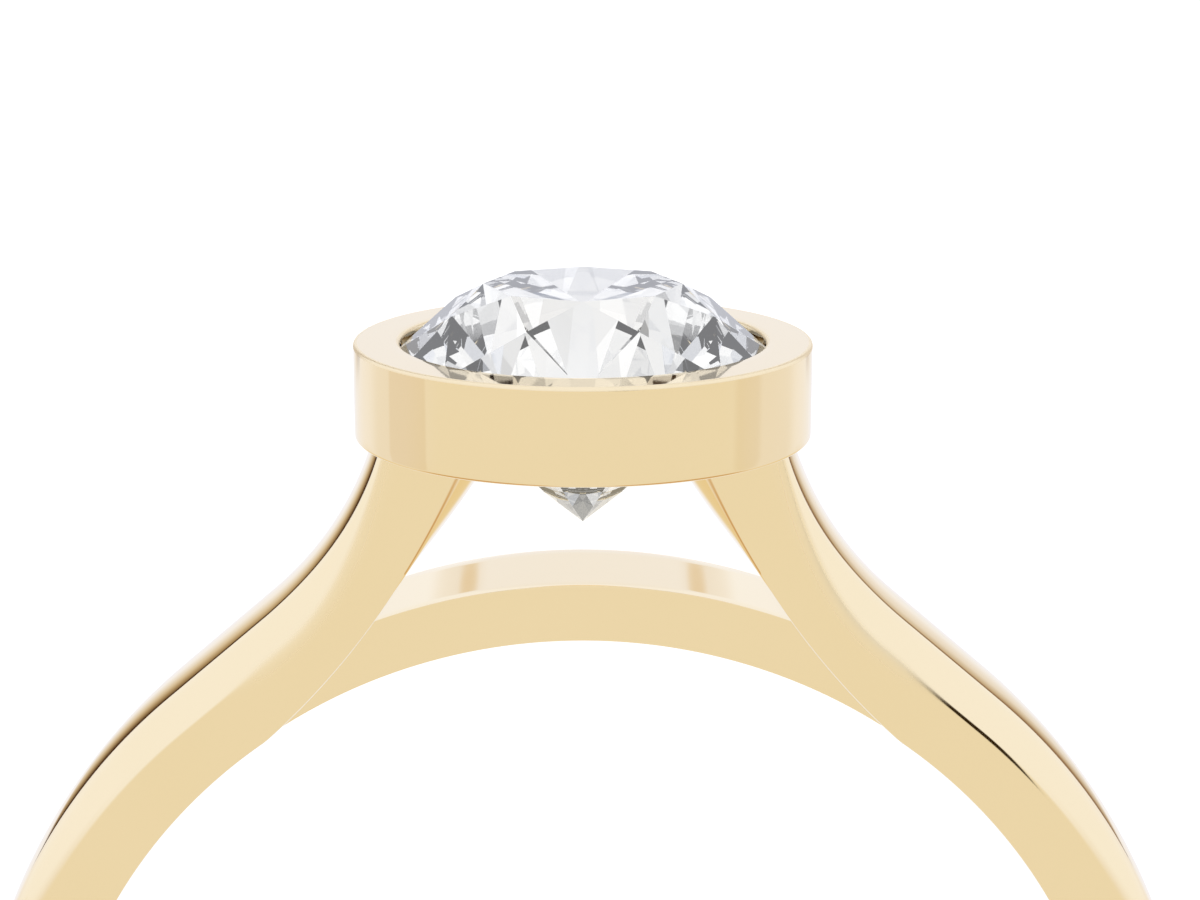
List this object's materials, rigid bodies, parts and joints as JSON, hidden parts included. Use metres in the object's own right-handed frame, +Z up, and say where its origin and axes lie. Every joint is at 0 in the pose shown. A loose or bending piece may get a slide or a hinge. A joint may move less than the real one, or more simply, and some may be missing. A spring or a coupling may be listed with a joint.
{
  "type": "bezel set ring",
  "caption": "Finger ring with a round faceted stone in a plain cylindrical bezel, carried by two swept shoulders over an arched bridge.",
  "frame": {"origin": "centre of the bounding box's base, on the floor that the ring lies on", "axes": "+Z up from the floor; +Y from the far side of the band towards the bezel and the table of the stone; X across the band. The ring lies on its side, so the finger axis is near +Z, leaning 6 degrees"},
  "size_m": [0.0202, 0.0244, 0.0073],
  "materials": {
    "gold": "polished",
    "stone": "polished facets"
  },
  "bodies": {
    "root": {"ring_mounting": "gold", "stone": "stone"}
  },
  "joints": []
}
